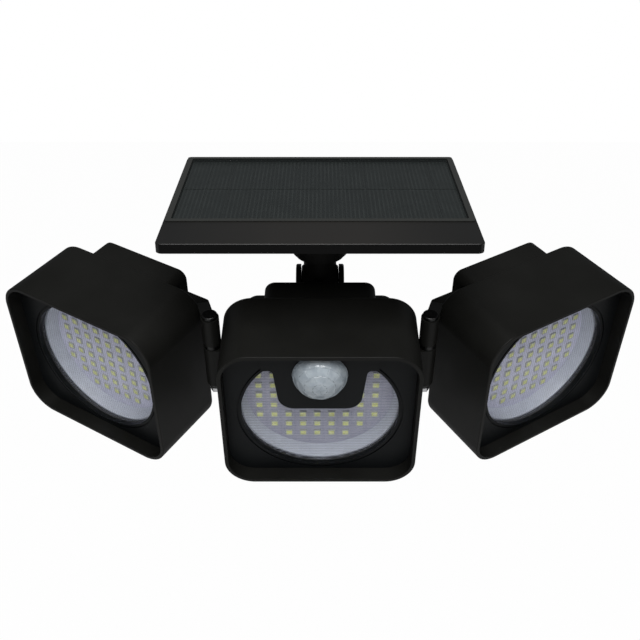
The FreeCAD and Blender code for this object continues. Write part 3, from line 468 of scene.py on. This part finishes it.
def make_tray_material(matrix):
    """Satin black tray with a painted sheen across the middle and painted shade on the band facing the
    viewer; the proud lip round the glass is a lighter grey.
    """
    shader = Shader("panel_black")
    axes = shader.axes(matrix)
    cloud = shader.cloud(scale=14.0, detail=5.0)
    # painted sheen: the tray is lighter towards the middle of its width
    middle = shader.remap(shader.math("ABSOLUTE", axes["X"]), TRAY_SHEEN_IN, TRAY_SHEEN_OUT,
                          to_low=1.0, to_high=0.0)
    lip = shader.remap(axes["Z"], LIP_LOW, LIP_LOW + LIP_RAMP)
    # painted shade: faces that look towards the viewer are darker and less glossy
    facing = shader.tree.nodes.new("ShaderNodeTexCoord").outputs["Normal"]
    front = shader.remap(shader.split(facing)["Y"], -0.95, -0.8, to_low=1.0, to_high=0.0)
    body = shader.blend(cloud, TRAY_DARK, TRAY_LIGHT)
    body = shader.blend(shader.math("MULTIPLY", middle, TRAY_SHEEN_SHARE), body, TRAY_PAINTED_SHEEN)
    body = shader.blend(front, body, TRAY_FRONT_SHADE)
    shader.set(Base_Color=shader.blend(lip, body, TRAY_LIP))
    shader.set(Roughness=shader.remap(cloud, 0.0, 1.0, to_low=0.34, to_high=0.44))
    shader.set(Specular_IOR_Level=shader.remap(front, 0.0, 1.0, to_low=0.35, to_high=0.08))
    shader.grain(scale=2400.0, strength=0.1, depth=BUMP_GRAIN)
    return shader.material


def make_cell_material(matrix):
    """Dark green-grey silicon with fine, slightly brighter finger lines that fade in patches."""
    shader = Shader("solar_silicon")
    fingers = shader.remap(shader.wave("SINE", shader.axes(matrix)["X"], FINGER_PITCH), 0.1, 0.95)
    lines = shader.math("MULTIPLY", fingers, shader.cloud(scale=95.0, to_low=0.35))
    silicon = shader.blend(shader.cloud(scale=60.0), SILICON_DARK, SILICON_LIGHT)
    share = shader.math("MULTIPLY", lines, FINGER_SHARE)
    shader.set(Base_Color=shader.blend(share, silicon, FINGER_TINT))
    shader.set(Roughness=0.34, Specular_IOR_Level=0.25)
    shader.bump(lines, strength=0.1, distance=BUMP_FINE)
    return shader.material


def dress(material, *objects):
    for thing in objects:
        thing.data.materials.clear()
        thing.data.materials.append(material)


def add_mesh(name, build, materials, body, matrix, smooth=False):
    """Make one piece from a bmesh builder, place it and let it ride."""
    mesh = bpy.data.meshes.new(name)
    form = bmesh.new()
    build(form)
    form.transform(matrix)
    form.to_mesh(mesh)
    form.free()
    for material in materials:
        mesh.materials.append(material)
    for face in mesh.polygons:
        face.use_smooth = smooth
    piece = bpy.data.objects.new(name, mesh)
    bpy.context.scene.collection.objects.link(piece)
    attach(piece, body)
    return piece


def close(form):
    """Join the points that meet and turn every face outwards."""
    bmesh.ops.remove_doubles(form, verts=form.verts, dist=MERGE)
    bmesh.ops.recalc_face_normals(form, faces=form.faces)


# ---- lenses ----------------------------------------------------------------------------------------
def build_lens(turn, pitch, notched):
    """Disc whose front has parallel ribs; in the centre head the sensor tunnel's notch is left out."""
    limit = LENS_DISC_R - LENS_CUT
    lines = int(2 * limit / pitch * RIB_SAMPLES)
    rotation = Matrix.Rotation(-math.radians(turn), 4, "Y")

    def inner(v):
        if not notched or v < PIR_Z - NOTCH_R:
            return 0.0
        return NOTCH_R if v > PIR_Z else math.sqrt(NOTCH_R ** 2 - (v - PIR_Z) ** 2)

    def build(form):
        for side in (-1, 1):
            rows = []
            for line in range(lines + 1):
                v = -limit + 2 * limit * line / lines
                reach = math.sqrt(LENS_DISC_R ** 2 - v ** 2)
                dip = RIB_DEPTH * (0.5 - 0.5 * math.cos(2 * math.pi * v / pitch))
                near = min(inner(v), reach - LENS_LEAST)
                rows.append([form.verts.new((side * near, LENS_FRONT + dip, v)),
                             form.verts.new((side * reach, LENS_FRONT + dip, v)),
                             form.verts.new((side * reach, LENS_BACK, v)),
                             form.verts.new((side * near, LENS_BACK, v))])
            for low, high in zip(rows, rows[1:]):
                # Where the two halves of the disc meet there is no wall between them.
                walls = 4 if max(abs(low[0].co.x), abs(high[0].co.x)) > 0 else 3
                for corner in range(walls):
                    following = (corner + 1) % 4
                    form.faces.new((low[corner], low[following], high[following], high[corner]))
            form.faces.new(rows[0])
            form.faces.new(rows[-1])
        close(form)
        form.transform(rotation)
    return build


def make_lenses():
    for prefix, matrix in HEADS.items():
        turn, pitch = RIBS[prefix]
        material = make_lens_material(prefix + "_lens_clear", matrix, turn, pitch)
        piece = add_mesh(prefix + "_lens_ribbed", build_lens(turn, pitch, prefix == "centre"),
                         (material,), BODY_OF[prefix], matrix, smooth=True)
        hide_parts(prefix + "_lens")


# ---- emitters --------------------------------------------------------------------------------------
def led_centres(node, matrix):
    """Centre of each emitter in its head's frame, read from the CAD node's separate solids."""
    inverse = matrix.inverted()
    form = bmesh.new()
    form.from_mesh(frame["nodes"][node].data)
    bmesh.ops.remove_doubles(form, verts=form.verts, dist=MERGE_CAD)
    left = set(form.verts)
    centres = []
    while left:
        stack = [left.pop()]
        island = []
        while stack:
            vert = stack.pop()
            island.append(inverse @ vert.co)
            for edge in vert.link_edges:
                other = edge.other_vert(vert)
                if other in left:
                    left.remove(other)
                    stack.append(other)
        centres.append(sum(island, Vector()) / len(island))
    form.free()
    return sorted(centres, key=lambda c: (round(c.z, 5), round(c.x, 5)))


def rounded_square(form, half, radius, y, centre):
    ring = []
    for quarter in range(4):
        turn = math.pi / 2 * quarter
        cx = (half - radius) * (1 if quarter in (0, 3) else -1)
        cz = (half - radius) * (1 if quarter in (0, 1) else -1)
        for step in range(LED_CORNER_STEPS + 1):
            angle = turn + math.pi / 2 * step / LED_CORNER_STEPS
            ring.append(form.verts.new((centre.x + cx + radius * math.cos(angle), y,
                                        centre.z + cz + radius * math.sin(angle))))
    return ring


def bridge(form, first, second, index=0):
    """Band of faces between two rings of as many points."""
    for i in range(len(first)):
        j = (i + 1) % len(first)
        face = form.faces.new((first[i], first[j], second[j], second[i]))
        face.material_index = index


def build_leds(centres):
    """White package with a bevelled rim and a slightly sunken yellow phosphor window."""
    def build(form):
        half = LED_SIZE / 2
        top = BOARD_FRONT - LED_T
        for centre in centres:
            rings = [rounded_square(form, half - inset, radius, top + depth, centre)
                     for inset, radius, depth in LED_RINGS]
            crown = rings[-1]
            for first, second in zip(rings, rings[1:]):
                bridge(form, first, second, 1 if second is crown else 0)
            form.faces.new(crown).material_index = 1
        bmesh.ops.recalc_face_normals(form, faces=form.faces)
    return build


def make_leds():
    package = make_plain("led_package_white", PACKAGE_WHITE, rough=0.35)
    phosphor = Shader("led_phosphor")
    phosphor.set(Base_Color=phosphor.blend(phosphor.cloud(scale=700.0), PHOSPHOR_DARK, PHOSPHOR_LIGHT))
    phosphor.set(Roughness=0.3)
    phosphor.grain(scale=2500.0, strength=0.1, depth=BUMP_FINE)
    for prefix, matrix in HEADS.items():
        node = prefix + "_leds"
        piece = add_mesh(prefix + "_emitters", build_leds(led_centres(node, matrix)),
                         (package, phosphor.material), BODY_OF[prefix], matrix)
        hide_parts(node)


# ---- sensor dome -----------------------------------------------------------------------------------
def dome_point(polar, around):
    """Point of the dome's sphere: polar from its middle, around from +X towards +Z."""
    p, a = math.radians(polar), math.radians(around)
    return Vector((DOME_R * math.sin(p) * math.cos(a),
                   DOME_BACK - DOME_R * math.cos(p),
                   PIR_Z + DOME_R * math.sin(p) * math.sin(a)))


def build_dome(form):
    """Faceted Fresnel dome: five rings of flat facets on a sphere, each parted by a fine groove."""
    foot_angle = math.degrees(math.acos((DOME_BACK + PLATE_T) / DOME_R))
    edges = (*DOME_EDGES, foot_angle)
    sphere = Vector((0, DOME_BACK, PIR_Z))
    for ring, count in enumerate(DOME_FACETS):
        low, high = edges[ring], edges[ring + 1]
        step = 360.0 / count
        for facet in range(count):
            start = step * (facet + 0.5 * (ring % 2))
            half, end = start + step / 2, start + step
            corners = [dome_point(low, start), dome_point(high, start),
                       dome_point(high, half), dome_point(high, end)]
            if ring > 0:
                corners += [dome_point(low, end), dome_point(low, half)]
            middle = sum(corners, Vector()) / len(corners)
            outwards = (middle - sphere).normalized() * DOME_GROOVE
            rim = [form.verts.new(corner) for corner in corners]
            flat = [form.verts.new(corner + (middle - corner).normalized() * 2 * DOME_GROOVE + outwards)
                    for corner in corners]
            bridge(form, rim, flat)
            form.faces.new(flat)
    close(form)


def make_dome():
    shader = Shader("dome_milky")
    shader.set(Base_Color=shader.blend(shader.cloud(scale=260.0), DOME_DARK, DOME_LIGHT))
    shader.set(Roughness=0.10, Alpha=0.80, IOR=1.5, Specular_IOR_Level=0.9)
    shader.grain(scale=1200.0, strength=0.05, depth=BUMP_SOFT)
    piece = add_mesh("sensor_dome_faceted", build_dome, (shader.material,), "centre_head", HEADS["centre"])
    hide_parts("sensor_dome")


# ---- cover glass -----------------------------------------------------------------------------------
def make_glass():
    """Cover glass, parted by a hair from the cells that it touches: no ray slips through their faces."""
    glass = Shader("panel_cover_glass")
    glass.set(Base_Color=colour(PANE_TINT), Roughness=0.2, Alpha=0.05, IOR=1.45, Specular_IOR_Level=0.15)
    glass.grain(scale=500.0, strength=0.03, depth=BUMP_SOFT)
    pane = frame["nodes"]["panel_glass"].data
    up = NECK.to_3x3() @ Vector((0, 0, GLASS_LIFT))
    piece = add_mesh("panel_pane", lambda form: form.from_mesh(pane), (glass.material,), "panel",
                     Matrix.Translation(up))
    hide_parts("panel_glass")


# ---- dressing --------------------------------------------------------------------------------------
def dress_cad():
    for name, dark, light, endings in MOULDINGS:
        dress(moulded(name, dark, light), *nodes_named(*endings))
    dress(make_tray_material(NECK), *nodes_named("panel_tray"))
    for name, tint, rough, endings in METALS:
        dress(metal(name, tint, rough), *nodes_named(*endings))
    for prefix, matrix in HEADS.items():
        pale = make_board_material(prefix + "_board_pale", matrix, BOARD_LIGHT_SHARE[prefix])
        dress(pale, frame["nodes"][prefix + "_led_board"])
    for name, tint, rough, endings in PLAINS:
        dress(make_plain(name, tint, rough), *nodes_named(*endings))
    dress(make_cell_material(NECK), *nodes_named("solar_cells"))


def main():
    bpy.context.scene.view_settings.view_transform = "Standard"
    make_camera()
    make_world()
    make_floor()
    for name, (place, size, power) in LAMPS.items():
        make_area(name, place, size, power)
    dress_cad()
    make_lenses()
    make_leds()
    make_dome()
    make_glass()


main()
